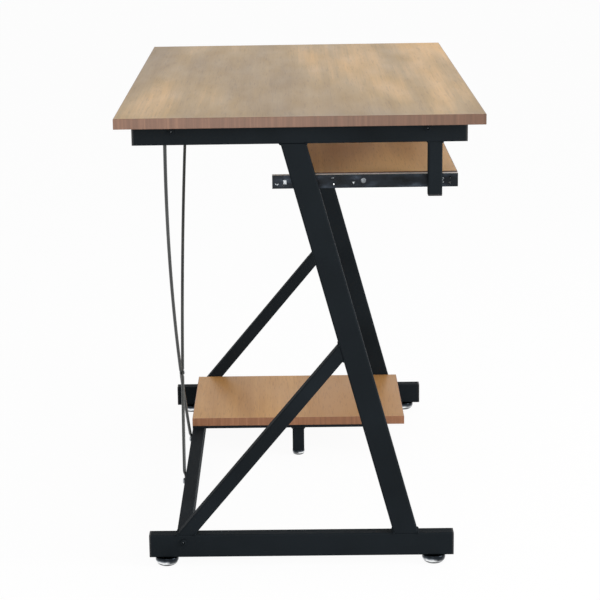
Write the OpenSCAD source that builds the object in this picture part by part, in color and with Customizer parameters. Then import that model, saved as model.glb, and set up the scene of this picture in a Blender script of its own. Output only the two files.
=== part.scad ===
// Computer desk with a sliding keyboard tray and a low side shelf, on two Z-shaped steel side frames.
// Frame: +Z up, X along the desktop, -Y is the user's side. The origin is on the floor, under the
// middle of the desktop. All lengths are millimetres.

/* [Desktop] */
// Length of the desktop
desk_l = 1000; // [920:10:1200]
// Depth of the desktop, front to back
desk_w = 590; // [560:5:640]
// Height of the desktop's top face above the floor
desk_h = 773; // [750:1:800]
// Thickness of the desktop board
desk_t = 17; // [15:1:25]
// Overhang of the desktop past each side frame
end_overhang = 46; // [20:1:60]
// Thickness of the edge banding on every board
band_t = 1; // [0.5:0.5:2]

/* [Side frames] */
// Width of the frame tube, along X
frame_t = 25; // [20:1:30]
// Distance of the top rail's ends inside the desktop's front and rear edges
rail_in = 25; // [15:1:30]
// Height of the top rail
rail_h = 34; // [30:1:40]
// Distance of the foot's front end behind the desktop's front edge
foot_front_in = 42; // [35:1:50]
// Distance of the foot's rear end in front of the desktop's rear edge
foot_rear_in = 33; // [20:1:40]
// Height of the foot tube
foot_h = 40; // [35:1:45]
// Depth of the slanted main leg, square to its length
leg_w = 40; // [35:1:45]
// Centre of the main leg where it meets the top rail
leg_top_y = 10; // [0:1:20]
// Distance of the main leg's centre behind the foot's front end
leg_foot_in = 81; // [75:1:95]
// Side of the small square tube in braces, hangers and cross bars
small_t = 23; // [20:1:25]
// Distance of the diagonal brace's centre in front of the foot's rear end
brace_foot_in = 63; // [52:1:72]
// Height where the brace's centre line meets the main leg's centre line
brace_top_z = 390; // [360:1:410]
// Distance of the tray slide's hanger behind the top rail's front end
hanger_in = 51.5; // [45:0.5:56]
// Wall thickness of all the tubes
wall = 1.2; // [1:0.1:1.5]
// Outer corner radius of the tubes
tube_r = 3; // [2:0.5:3.5]

/* [Cross tubes and brace rods] */
// Distance of both upper cross bars from the top rail's ends
upper_bar_in = 64; // [58:1:70]
// Distance of the lower cross tube in front of the foot's rear end
lower_bar_in = 58; // [56:0.5:62]
// Height of the rear lower cross tube
lower_bar_h = 30; // [25:1:32]
// Height of the lower cross tube's centre above the feet's underside
lower_bar_up = 27; // [25:1:29]
// Diameter of the crossed brace rods
rod_d = 6; // [5:0.5:7]
// Distance of the rods' upper screws from each side frame
rod_top_in = 41; // [30:1:60]
// Distance of the rods' lower screws from the middle
rod_low_x = 126; // [100:1:150]
// Backward bow of the rod that passes in front
rod_bow = 7.4; // [5:0.1:9]

/* [Keyboard tray] */
// Distance of the tray's front edge behind the desktop's front edge
tray_set_back = 38; // [30:1:45]
// Depth of the tray board
tray_d = 250; // [230:5:260]
// Thickness of the tray board
tray_t = 15; // [12:1:18]
// Distance from the desktop's top face down to the tray's top face
tray_drop = 105; // [100:1:110]
// Travel of the tray
tray_travel = 200; // [150:10:205]
// Length of the ball-bearing slides
slide_l = 302; // [300:1:310]
// Height of the slides
slide_h = 22; // [21:0.5:24]
// Thickness of one slide, all members
slide_t = 12; // [12:0.5:14]

/* [Low shelf] */
// Width of the shelf along X
shelf_w = 297; // [250:1:320]
// Depth of the shelf board
shelf_d = 419; // [400:1:425]
// Thickness of the shelf board
shelf_t = 16; // [15:1:18]
// Thickness of the steel bearers under the shelf
bearer_t = 5; // [4:0.5:6]
// Length of the bearers along Y
bearer_l = 353; // [300:1:380]

/* [Levelling glides] */
// Height of the chrome glide cups under the feet
glide_h = 16; // [14:0.5:18]
// Radius of the glide cups under the feet
glide_r = 19.8; // [17:0.1:22]
// Radius of the bowl at the lower edge of these cups
glide_bowl = 11; // [8:0.5:12]
// Height of the small glide cup under the middle leg
small_glide_h = 11; // [9:0.5:13]
// Radius of the small glide cup
small_glide_r = 12; // [11:0.5:14]
// Distance of the front glides from the foot's front end
glide_front = 33; // [30:1:36]
// Distance of the rear glides from the foot's rear end
glide_rear = 29; // [26:1:32]
// Downward adjustment of each glide
glide_travel = 8; // [5:1:10]

/* [Hidden] */
$fn = 48;
e = 1;           // overshoot of cutting bodies
fit = 0.2;       // side clearance of plugs and inserts in a tube
thread_fit = 0.05; // radial clearance of a screw in its threaded hole
hole_fit = 0.3;  // radial clearance of a screw in a plain hole

// heights
lower_bar_z = glide_h + lower_bar_up;
desk_under_z = desk_h - desk_t;
rail_z = desk_under_z - rail_h;
foot_top_z = glide_h + foot_h;
upper_bar_z = desk_under_z - small_t / 2;
lower_bar_top = lower_bar_z + lower_bar_h / 2;
shelf_under_z = lower_bar_top + bearer_t;
tray_z = desk_h - tray_drop;

// the side frames
frame_x = desk_l / 2 - end_overhang;
inner_x = frame_x - frame_t;
mid_x = frame_x - frame_t / 2;
rail_l = desk_w - 2 * rail_in;
foot_front_y = foot_front_in - desk_w / 2;
foot_rear_y = desk_w / 2 - foot_rear_in;
foot_l = foot_rear_y - foot_front_y;
leg_foot_y = foot_front_y + leg_foot_in;
brace_foot_y = foot_rear_y - brace_foot_in;
hanger_y = hanger_in - rail_l / 2;
upper_bar_y = rail_l / 2 - upper_bar_in;
lower_bar_y = foot_rear_y - lower_bar_in;
leg_angle = atan((leg_top_y - leg_foot_y) / (rail_z - foot_top_z));
function leg_y(z) = leg_top_y - (rail_z - z) * tan(leg_angle);
brace_angle = atan((brace_foot_y - leg_y(brace_top_z)) / (brace_top_z - foot_top_z));

// plugs, nuts, bolts and screws
plug_t = 3;
plug_depth = 15;
bolt_r = 3;
bolt_head_r = 5.5;
bolt_head_t = 4;
insert_l = 18;
insert_grip = 16;
screw_r = 2;
screw_head_r = 4;
screw_head_t = 2.2;
rod_screw_r = 2.5;
rod_head_r = 5.5;
rod_head_t = 3.5;
stud_r = 4;
nut_r = 6;
nut_l = 14;

// the slides: depths are counted from the side frame's inner face towards the tray
steel = 1.2;
slide_drop = 5.2;
slide_front_y = tray_set_back - desk_w / 2;
slide_z = tray_z - tray_t / 2 - slide_drop;
hanger_tip = 11;
hanger_low_z = slide_z - slide_h / 2 - hanger_tip;
lip_h = 2.5;
tray_gap = 1;
lip_depth = slide_t - tray_gap;
race_h = 3.7;
inner_half = slide_h / 2 - steel - race_h;
inner_depth = 4.8;
ball_r = 1.6;
ball_s = 6.4;
ball_z = inner_half + race_h / 2;
cage_s = 3;
cage_t = 0.8;
cage_spare = 10;
cage_l = slide_l - tray_travel - cage_spare;
cage_mid_y = slide_front_y + slide_l / 2;
ball_end = 9;
ball_pitch = (cage_l - 2 * ball_end) / 3;
ball_steps = [-1.5, -0.5, 0.5, 1.5];
slide_screw_y = [hanger_y, leg_y(slide_z)];
slide_screw_l = 8;
slide_head_t = 1.5;
web_hole_r = 1.6;
web_hole_rise = 4.7;
web_hole_at = [13, slide_l / 2 + 19, slide_l / 2 + 51, slide_l - 18];

// the tray
tray_w = 2 * (inner_x - slide_t);
tray_rear_y = slide_front_y + tray_d;
tray_screw_in = 30;
tray_screw_y = [slide_front_y + tray_screw_in, slide_front_y + tray_d / 2, tray_rear_y - tray_screw_in];
tray_screw_rise = 1.2;
tray_screw_z = slide_z + tray_screw_rise;
tray_screw_l = 14;
tray_head_r = 3.5;

// the low shelf
shelf_x = inner_x - shelf_w;
shelf_rear_y = lower_bar_y + small_t / 2;
shelf_front_y = shelf_rear_y - shelf_d;
shelf_mid_y = shelf_rear_y - shelf_d / 2;
bearer_w = small_t;
shelf_screw_in = 50;
shelf_screw_x = [shelf_x + bearer_w / 2, inner_x - bearer_w / 2];
shelf_screw_y = [shelf_rear_y - shelf_screw_in, shelf_rear_y - bearer_l + shelf_screw_in];
shelf_screw_l = 12;
flange_t = 3;
flange_drop = 25;
middle_xy = [shelf_x + small_t / 2, shelf_mid_y];

// the desktop's screws and the rods' end points
desk_screw_pitch = 300;
desk_screw_x = [-1, 0, 1] * desk_screw_pitch;
desk_screw_bite = 12;
rod_top_x = inner_x - rod_top_in;
rod_pad_t = rod_d / 2;
rod_pad_w = 9;
rod_low_z = lower_bar_z - 4;
rod_low = [rod_low_x, shelf_rear_y + rod_d / 2, rod_low_z];
rod_top = [-rod_top_x, upper_bar_y + small_t / 2 + rod_d / 2, upper_bar_z];
rod_span = norm(rod_top - rod_low);
rod_cross_t = rod_low_x / (rod_low_x + rod_top_x);
rod_cross_lift = 4 * rod_cross_t * (1 - rod_cross_t);
rod_bow_rear = rod_bow + (rod_pad_t + fit) / rod_cross_lift;
rod_cross = rod_low + (rod_top - rod_low) * rod_cross_t;
rod_lean = atan((rod_low_x + rod_top_x) / (rod_top[2] - rod_low[2]));
rod_joint_rear_y = rod_cross[1] + rod_bow_rear * rod_cross_lift + rod_pad_t / 2;
rod_joint_front_y = rod_cross[1] + rod_bow * rod_cross_lift - rod_pad_t / 2;
rod_nut_t = 3.2;
rod_screw_tip = 1;
rod_pad_half = 9;
rod_pad_grip = 2;
rod_low_steps = 2;
rod_top_steps = 6;
rod_knuckle = 0.05;

glide_nodes = ["front_left", "rear_left", "front_right", "rear_right"];
small_glide_bowl = 5;
cup_shoulder = 2;

// ---- shared shapes ----

// rectangle with round corners, centred
module round_rect(w, h, r) {
    square([w - 2 * r, h], center = true);
    square([w, h - 2 * r], center = true);
    for (x = [-1, 1], y = [-1, 1])
        translate([x * (w / 2 - r), y * (h / 2 - r)])
            circle(r);
}

// cross-section of a tube: w along X, h along Y
module tube_section(w, h) {
    difference() {
        round_rect(w, h, tube_r);
        round_rect(w - 2 * wall, h - 2 * wall, tube_r - wall);
    }
}

// the bore of a tube, filled, with clearance all round
module bore_section(w, h) {
    round_rect(w - 2 * (wall + fit), h - 2 * (wall + fit), tube_r - wall);
}

// lays a section of X by Z along +Y, starting at the origin
module along_y(l) {
    rotate([90, 0, 0])
        mirror([0, 0, 1])
            linear_extrude(l)
                children();
}

// lays a section of Y by Z along X, centred
module along_x(l) {
    rotate([90, 0, 90])
        linear_extrude(l, center = true)
            children();
}

// a cylinder along +X from the origin
module rod_x(r, l) {
    rotate([0, 90, 0])
        cylinder(r = r, h = l);
}

// a cylinder along +Y from the origin
module rod_y(r, l) {
    rotate([-90, 0, 0])
        cylinder(r = r, h = l);
}

// children stand on the right side (side = 1) or are mirrored to the left (side = -1)
module on_side(side) {
    mirror([side < 0 ? 1 : 0, 0, 0])
        children();
}

// ---- boards ----

// a board from x0,y0 to x1,y1 inside its edge band
module board(x0, y0, x1, y1, z, t) {
    translate([x0 + band_t, y0 + band_t, z])
        cube([x1 - x0 - 2 * band_t, y1 - y0 - 2 * band_t, t]);
}

module edge_band(x0, y0, x1, y1, z, t) {
    difference() {
        translate([x0, y0, z])
            cube([x1 - x0, y1 - y0, t]);
        translate([x0 + band_t, y0 + band_t, z - e])
            cube([x1 - x0 - 2 * band_t, y1 - y0 - 2 * band_t, t + 2 * e]);
    }
}

module desktop_panel() {
    color("tan")
        difference() {
            board(-desk_l / 2, -desk_w / 2, desk_l / 2, desk_w / 2, desk_under_z, desk_t);
            for (x = desk_screw_x, y = [-1, 1] * upper_bar_y)
                translate([x, y, desk_under_z - e])
                    cylinder(r = screw_r + thread_fit, h = desk_screw_bite + e + fit);
        }
}

module desktop_edge_band() {
    color("peru")
        edge_band(-desk_l / 2, -desk_w / 2, desk_l / 2, desk_w / 2, desk_under_z, desk_t);
}

module shelf_panel() {
    color("tan")
        difference() {
            board(shelf_x, shelf_front_y, inner_x, shelf_rear_y, shelf_under_z, shelf_t);
            for (x = shelf_screw_x, y = shelf_screw_y)
                translate([x, y, shelf_under_z - e])
                    cylinder(r = screw_r + thread_fit, h = shelf_screw_l - bearer_t + e + fit);
        }
}

module shelf_edge_band() {
    color("peru")
        edge_band(shelf_x, shelf_front_y, inner_x, shelf_rear_y, shelf_under_z, shelf_t);
}

module tray_panel() {
    color("tan")
        difference() {
            board(-tray_w / 2, slide_front_y, tray_w / 2, tray_rear_y, tray_z - tray_t, tray_t);
            for (side = [-1, 1], y = tray_screw_y)
                on_side(side)
                    translate([tray_w / 2 - tray_screw_l - fit, y, tray_screw_z])
                        rod_x(screw_r + thread_fit, tray_screw_l + fit + e);
        }
}

module tray_edge_band() {
    color("peru")
        difference() {
            edge_band(-tray_w / 2, slide_front_y, tray_w / 2, tray_rear_y, tray_z - tray_t, tray_t);
            for (side = [-1, 1], y = tray_screw_y)
                on_side(side)
                    translate([tray_w / 2 - band_t - e, y, tray_screw_z])
                        rod_x(screw_r + thread_fit, band_t + 2 * e);
        }
}

// ---- side frames ----

module top_rail(side) {
    color("#1c2026")
        on_side(side)
            difference() {
                translate([mid_x, plug_t - rail_l / 2, rail_z + rail_h / 2])
                    along_y(rail_l - 2 * plug_t)
                        tube_section(frame_t, rail_h);
                for (y = [-1, 1] * upper_bar_y)
                    translate([inner_x - e, y, upper_bar_z])
                        rod_x(bolt_r + hole_fit, frame_t + 2 * e);
            }
}

// the section drawn along the main leg, cut level at its two ends
module leg_block(over) {
    intersection() {
        translate([mid_x, leg_y((rail_z + foot_top_z) / 2), (rail_z + foot_top_z) / 2])
            rotate([-leg_angle, 0, 0])
                linear_extrude(2 * (rail_z - foot_top_z), center = true)
                    children();
        translate([mid_x - frame_t, -desk_w, foot_top_z - over])
            cube([2 * frame_t, 2 * desk_w, rail_z - foot_top_z + 2 * over]);
    }
}

module main_leg(side) {
    color("#1c2026")
        on_side(side)
            difference() {
                leg_block(0)
                    tube_section(frame_t, leg_w);
                translate([inner_x - e, leg_y(slide_z), slide_z])
                    rod_x(screw_r + thread_fit, wall + 2 * e);
            }
}

module diagonal_brace(side) {
    color("#1c2026")
        on_side(side)
            difference() {
                intersection() {
                    translate([mid_x, brace_foot_y, foot_top_z])
                        rotate([brace_angle, 0, 0])
                            linear_extrude(2 * (brace_top_z - foot_top_z) / cos(brace_angle), center = true)
                                tube_section(small_t, small_t);
                    translate([mid_x - frame_t, leg_y(brace_top_z), foot_top_z])
                        cube([2 * frame_t, desk_w, brace_top_z - foot_top_z]);
                }
                leg_block(e)
                    square([2 * frame_t, leg_w], center = true);
            }
}

module foot_tube(side) {
    color("#1c2026")
        on_side(side)
            difference() {
                translate([mid_x, foot_front_y + plug_t, glide_h + foot_h / 2])
                    along_y(foot_l - 2 * plug_t)
                        tube_section(frame_t, foot_h);
                translate([inner_x - e, lower_bar_y, lower_bar_z])
                    rod_x(bolt_r + hole_fit, frame_t + 2 * e);
                for (y = [foot_front_y + glide_front, foot_rear_y - glide_rear])
                    translate([mid_x, y, glide_h - e])
                        cylinder(r = nut_r, h = wall + 2 * e);
            }
}

module slide_hanger(side) {
    color("#1c2026")
        on_side(side)
            difference() {
                translate([inner_x + small_t / 2, hanger_y, hanger_low_z + plug_t])
                    linear_extrude(rail_z - hanger_low_z - plug_t)
                        tube_section(small_t, small_t);
                translate([inner_x - e, hanger_y, slide_z])
                    rod_x(screw_r + thread_fit, wall + 2 * e);
            }
}

// ---- cross tubes ----

module upper_crossbar(y) {
    color("#1c2026")
        difference() {
            translate([0, y, upper_bar_z])
                along_x(2 * inner_x)
                    tube_section(small_t, small_t);
            for (x = desk_screw_x)
                translate([x, y, upper_bar_z - small_t])
                    cylinder(r = screw_r + hole_fit, h = 2 * small_t);
            if (y > 0)
                for (x = [-1, 1] * rod_top_x)
                    translate([x, y + small_t / 2 - wall - e, upper_bar_z])
                        rod_y(rod_screw_r + thread_fit, wall + 2 * e);
        }
}

module lower_crossbar() {
    color("#1c2026")
        difference() {
            translate([0, lower_bar_y, lower_bar_z])
                along_x(2 * inner_x)
                    tube_section(small_t, lower_bar_h);
            for (x = [-1, 1] * rod_low_x)
                translate([x, shelf_rear_y - wall - e, rod_low_z])
                    rod_y(rod_screw_r + thread_fit, wall + 2 * e);
        }
}

// ---- crossed brace rods ----

// flat pad pressed in the rod, lying in the plane of the back, with its screw hole
module rod_pad(hole_r) {
    difference() {
        translate([-rod_pad_w / 2, -rod_pad_t / 2, -rod_pad_half])
            cube([rod_pad_w, rod_pad_t, 2 * rod_pad_half]);
        translate([0, -rod_d, 0])
            rod_y(hole_r, 2 * rod_d);
    }
}

// point on the rod's centre line at a share of its span, counted from the lower screw
function rod_point(bow, share) =
    rod_low + (rod_top - rod_low) * share + [0, 4 * bow * share * (1 - share), 0];

// round bar from point a to point b
module round_bar(a, b, r) {
    run = b - a;
    translate(a)
        rotate([0, acos(run[2] / norm(run)), atan2(run[1], run[0])])
            cylinder(r = r, h = norm(run));
}

// the rod between two shares of its span, as short straight bars that meet in knuckles
module rod_stretch(bow, from, to, steps) {
    points = [for (i = [0 : steps]) rod_point(bow, from + (to - from) * i / steps)];
    for (i = [1 : steps])
        round_bar(points[i - 1], points[i], rod_d / 2);
    for (i = [1 : steps - 1])
        translate(points[i])
            sphere(rod_d / 2 + rod_knuckle);
}

// rod from the lower right screw to the upper left screw
module brace_rod(bow) {
    pad_share = (rod_pad_half - rod_pad_grip) / rod_span;
    rod_stretch(bow, pad_share, rod_cross_t - pad_share, rod_low_steps);
    rod_stretch(bow, rod_cross_t + pad_share, 1 - pad_share, rod_top_steps);
    for (end = [rod_low, rod_top])
        translate(end - [0, rod_pad_t / 2, 0])
            rotate([0, -rod_lean, 0])
                rod_pad(rod_screw_r + hole_fit);
    translate(rod_point(bow, rod_cross_t))
        rotate([0, -rod_lean, 0])
            rod_pad(screw_r + hole_fit);
}

module rear_brace_rod() {
    color("#3a3d40")
        brace_rod(rod_bow_rear);
}

module front_brace_rod() {
    color("#3a3d40")
        mirror([1, 0, 0])
            brace_rod(rod_bow);
}

// pan-head screw: head on the -Z side of the origin's plane, shank along +Z
module pan_screw(r, l, head_r, head_t) {
    translate([0, 0, -head_t / 2])
        cylinder(r = r, h = l + head_t / 2);
    translate([0, 0, -head_t])
        cylinder(r = head_r, h = head_t);
}

module rod_end_screws() {
    color("silver")
        for (side = [-1, 1])
            on_side(side) {
                translate([rod_low_x, shelf_rear_y + rod_pad_t, rod_low_z])
                    rotate([90, 0, 0])
                        pan_screw(rod_screw_r, small_t / 2, rod_head_r, rod_head_t);
                translate([rod_top_x, upper_bar_y + small_t / 2 + rod_pad_t, upper_bar_z])
                    rotate([90, 0, 0])
                        pan_screw(rod_screw_r, small_t / 2, rod_head_r, rod_head_t);
            }
}

module rod_centre_screw() {
    shank = rod_joint_rear_y - rod_joint_front_y + rod_nut_t + rod_screw_tip;
    color("silver")
        translate([0, rod_joint_rear_y, rod_cross[2]])
            rotate([90, 0, 0])
                pan_screw(screw_r, shank, screw_head_r, screw_head_t);
}

module rod_centre_nut() {
    color("silver")
        translate([0, rod_joint_front_y, rod_cross[2]])
            rotate([90, 0, 0])
                difference() {
                    cylinder(r = screw_head_r, h = rod_nut_t, $fn = 6);
                    translate([0, 0, -e])
                        cylinder(r = screw_r + thread_fit, h = rod_nut_t + 2 * e);
                }
}

// ---- shelf supports ----

module bearer_holes() {
    for (x = shelf_screw_x, y = shelf_screw_y)
        translate([x, y, lower_bar_top - e])
            cylinder(r = screw_r + hole_fit, h = bearer_t + 2 * e);
}

module shelf_bearer_inner() {
    color("#1c2026")
        difference() {
            translate([shelf_x, shelf_rear_y - bearer_l, lower_bar_top])
                cube([bearer_w, bearer_l, bearer_t]);
            bearer_holes();
        }
}

module shelf_bearer_outer() {
    color("#1c2026")
        difference() {
            union() {
                translate([inner_x - bearer_w, shelf_rear_y - bearer_l, lower_bar_top])
                    cube([bearer_w, bearer_l, bearer_t]);
                translate([inner_x - flange_t, shelf_rear_y - bearer_l, lower_bar_top - flange_drop])
                    cube([flange_t, bearer_l - small_t - fit, flange_drop + e]);
            }
            bearer_holes();
        }
}

module shelf_middle_leg() {
    color("#1c2026")
        translate([middle_xy[0], middle_xy[1], small_glide_h])
            linear_extrude(lower_bar_top - small_glide_h)
                tube_section(small_t, small_t);
}

module shelf_screws() {
    color("silver")
        for (x = shelf_screw_x, y = shelf_screw_y)
            translate([x, y, lower_bar_top])
                pan_screw(screw_r, shelf_screw_l, screw_head_r, screw_head_t);
}

// ---- plastic end plugs ----

module end_plug(w, h) {
    linear_extrude(plug_t)
        round_rect(w, h, tube_r);
    translate([0, 0, plug_t - e])
        linear_extrude(plug_depth + e)
            bore_section(w, h);
}

// plugs at both ends of a tube that lies along Y at height z
module plug_pair(front_y, rear_y, h, z) {
    for (side = [-1, 1])
        on_side(side) {
            translate([mid_x, rear_y, z])
                rotate([90, 0, 0])
                    end_plug(frame_t, h);
            translate([mid_x, front_y, z])
                rotate([-90, 0, 0])
                    end_plug(frame_t, h);
        }
}

module rail_end_plugs() {
    color("#141619")
        plug_pair(-rail_l / 2, rail_l / 2, rail_h, rail_z + rail_h / 2);
}

module foot_end_plugs() {
    color("#141619")
        plug_pair(foot_front_y, foot_rear_y, foot_h, glide_h + foot_h / 2);
}

module hanger_end_plugs() {
    color("#141619")
        for (side = [-1, 1])
            on_side(side)
                translate([inner_x + small_t / 2, hanger_y, hanger_low_z])
                    end_plug(small_t, small_t);
}

// ---- frame bolts, inserts and desktop screws ----

// places children at the end of each cross bar on one side, pointing inwards along -X
module at_bar_ends() {
    for (side = [-1, 1])
        on_side(side) {
            for (y = [-1, 1] * upper_bar_y)
                translate([frame_x, y, upper_bar_z])
                    children();
            translate([frame_x, lower_bar_y, lower_bar_z])
                children();
        }
}

module frame_bolts() {
    color("silver")
        at_bar_ends()
            rotate([0, -90, 0])
                pan_screw(bolt_r, frame_t + insert_grip, bolt_head_r, bolt_head_t);
}

module crossbar_nut_inserts() {
    color("gray")
        at_bar_ends()
            translate([-frame_t - insert_l, 0, 0])
                rotate([90, 0, 90])
                    linear_extrude(insert_l)
                        difference() {
                            bore_section(small_t, small_t);
                            circle(bolt_r + thread_fit);
                        }
}

module desktop_screws() {
    color("silver")
        for (x = desk_screw_x, y = [-1, 1] * upper_bar_y)
            translate([x, y, desk_under_z - small_t])
                pan_screw(screw_r, small_t + desk_screw_bite, screw_head_r, screw_head_t);
}

// ---- tray slides ----

// children are drawn with X as the depth from the frame's inner face and are laid along the slide
module slide_place(side, y0, l) {
    on_side(side)
        translate([inner_x, y0, slide_z])
            mirror([1, 0, 0])
                along_y(l)
                    children();
}

// a sheet channel from depth s0 to s1: its web lies at s1 when the mouth faces the frame
module channel(s0, s1, half, t, web_inside) {
    difference() {
        translate([s0, -half])
            square([s1 - s0, 2 * half]);
        translate([web_inside ? s0 - e : s0 + t, t - half])
            square([s1 - s0 - t + e, 2 * (half - t)]);
    }
}

module slide_outer(side) {
    color("lightgray")
        difference() {
            slide_place(side, slide_front_y, slide_l)
                difference() {
                    translate([0, -slide_h / 2])
                        square([lip_depth, slide_h]);
                    translate([steel, steel - slide_h / 2])
                        square([lip_depth - 2 * steel, slide_h - 2 * steel]);
                    translate([steel, steel + lip_h - slide_h / 2])
                        square([lip_depth, slide_h - 2 * (steel + lip_h)]);
                }
            on_side(side) {
                for (y = slide_screw_y)
                    translate([inner_x - steel - e, y, slide_z])
                        rod_x(screw_r + hole_fit, steel + 2 * e);
                for (at = web_hole_at, z = [-1, 1] * web_hole_rise)
                    translate([inner_x - steel - e, slide_front_y + at, slide_z + z])
                        rod_x(web_hole_r, steel + 2 * e);
            }
        }
}

module slide_inner(side) {
    color("lightgray")
        difference() {
            slide_place(side, slide_front_y, slide_l)
                channel(inner_depth, slide_t, inner_half, steel, true);
            on_side(side)
                for (y = tray_screw_y)
                    translate([inner_x - slide_t - e, y, tray_screw_z])
                        rod_x(screw_r + hole_fit, steel + 2 * e);
        }
}

module ball_cage(side) {
    color("gainsboro")
        difference() {
            slide_place(side, cage_mid_y - cage_l / 2, cage_l)
                channel(cage_s, ball_s + ball_r + cage_t, ball_z + cage_t / 2, cage_t, false);
            on_side(side)
                for (step = ball_steps)
                    translate([inner_x - ball_s, cage_mid_y + step * ball_pitch, slide_z])
                        cylinder(r = ball_r + fit, h = 2 * slide_h, center = true);
        }
}

module slide_balls(side) {
    color("silver")
        on_side(side)
            for (step = ball_steps, z = [-ball_z, ball_z])
                translate([inner_x - ball_s, cage_mid_y + step * ball_pitch, slide_z + z])
                    sphere(ball_r);
}

module slide_fixing_screws() {
    color("silver")
        for (side = [-1, 1], y = slide_screw_y)
            on_side(side)
                translate([inner_x - steel, y, slide_z])
                    rotate([0, 90, 0])
                        pan_screw(screw_r, slide_screw_l, screw_head_r, slide_head_t);
}

module tray_screws() {
    color("silver")
        for (side = [-1, 1], y = tray_screw_y)
            on_side(side)
                translate([tray_w / 2 + steel, y, tray_screw_z])
                    rotate([0, -90, 0])
                        pan_screw(screw_r, tray_screw_l + steel, tray_head_r, slide_head_t);
}

// ---- levelling glides ----

// centre of a foot's glide, given its name
function glide_xy(name) = [
    (name == "front_left" || name == "rear_left" ? -1 : 1) * mid_x,
    name == "front_left" || name == "front_right" ? foot_front_y + glide_front : foot_rear_y - glide_rear
];
// a quarter of a disc, its corner at the origin
module quarter(r, up) {
    intersection() {
        circle(r);
        translate([0, up ? 0 : -r])
            square(r);
    }
}

// turned cup: a bowl below, a straight wall, a small round shoulder on top
module glide_cup(at, r, h, bowl) {
    color("gainsboro")
        translate([at[0], at[1], 0])
            difference() {
                rotate_extrude() {
                    square([r - bowl, bowl]);
                    translate([r - bowl, bowl])
                        quarter(bowl, false);
                    translate([0, bowl])
                        square([r, h - cup_shoulder - bowl]);
                    translate([0, bowl])
                        square([r - cup_shoulder, h - bowl]);
                    translate([r - cup_shoulder, h - cup_shoulder])
                        quarter(cup_shoulder, true);
                }
                translate([0, 0, h / 2])
                    cylinder(r = stud_r + thread_fit, h = h);
            }
}

module foot_cup(name) {
    glide_cup(glide_xy(name), glide_r, glide_h, glide_bowl);
}

module middle_cup() {
    glide_cup(middle_xy, small_glide_r, small_glide_h, small_glide_bowl);
}

module glide_stud(at, h) {
    color("silver")
        translate([at[0], at[1], h / 2])
            cylinder(r = stud_r, h = h / 2 + nut_l + glide_travel);
}

module foot_glide_nuts() {
    color("gray")
        for (name = glide_nodes)
            translate([glide_xy(name)[0], glide_xy(name)[1], glide_h])
                difference() {
                    cylinder(r = nut_r - thread_fit, h = nut_l);
                    translate([0, 0, -e])
                        cylinder(r = stud_r + thread_fit, h = nut_l + 2 * e);
                }
}

module middle_glide_nut() {
    color("gray")
        translate([middle_xy[0], middle_xy[1], small_glide_h])
            linear_extrude(nut_l)
                difference() {
                    bore_section(small_t, small_t);
                    circle(stud_r + thread_fit);
                }
}

desktop_panel();
desktop_edge_band();
shelf_panel();
shelf_edge_band();
tray_panel();
tray_edge_band();
top_rail(-1);  // left_top_rail
top_rail(1);  // right_top_rail
main_leg(-1);  // left_main_leg
main_leg(1);  // right_main_leg
diagonal_brace(-1);  // left_diagonal_brace
diagonal_brace(1);  // right_diagonal_brace
foot_tube(-1);  // left_foot_tube
foot_tube(1);  // right_foot_tube
slide_hanger(-1);  // left_slide_hanger
slide_hanger(1);  // right_slide_hanger
upper_crossbar(-upper_bar_y);  // front_upper_crossbar
upper_crossbar(upper_bar_y);  // rear_upper_crossbar
lower_crossbar();  // rear_lower_crossbar
rear_brace_rod();
front_brace_rod();
rod_end_screws();
rod_centre_screw();
rod_centre_nut();
shelf_bearer_inner();
shelf_bearer_outer();
shelf_middle_leg();
shelf_screws();
rail_end_plugs();
foot_end_plugs();
hanger_end_plugs();
frame_bolts();
crossbar_nut_inserts();
desktop_screws();
slide_outer(-1);  // left_slide_outer
slide_outer(1);  // right_slide_outer
ball_cage(-1);  // left_ball_cage
ball_cage(1);  // right_ball_cage
slide_balls(-1);  // left_slide_balls
slide_balls(1);  // right_slide_balls
slide_inner(-1);  // left_slide_inner
slide_inner(1);  // right_slide_inner
slide_fixing_screws();
tray_screws();
foot_glide_nuts();
middle_glide_nut();
foot_cup("front_left");  // front_left_glide_cup
foot_cup("rear_left");  // rear_left_glide_cup
foot_cup("front_right");  // front_right_glide_cup
foot_cup("rear_right");  // rear_right_glide_cup
middle_cup();  // middle_glide_cup
glide_stud(glide_xy("front_left"), glide_h);  // front_left_glide_stud
glide_stud(glide_xy("rear_left"), glide_h);  // rear_left_glide_stud
glide_stud(glide_xy("front_right"), glide_h);  // front_right_glide_stud
glide_stud(glide_xy("rear_right"), glide_h);  // rear_right_glide_stud
glide_stud(middle_xy, small_glide_h);  // middle_glide_stud
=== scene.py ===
"""A computer desk with a keyboard tray, two tube side frames and a low shelf.

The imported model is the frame. This script gives its nodes their finishes, and replaces the
boards' edge tapes, the brace rods, the plugs and the fasteners by finer pieces. It adds the
weld beads, the floors of the bolts' sockets, and the small details on the slides' webs.
"""
import math
from collections import namedtuple

import bmesh
import bpy
from mathutils import Euler, Matrix, Vector


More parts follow.
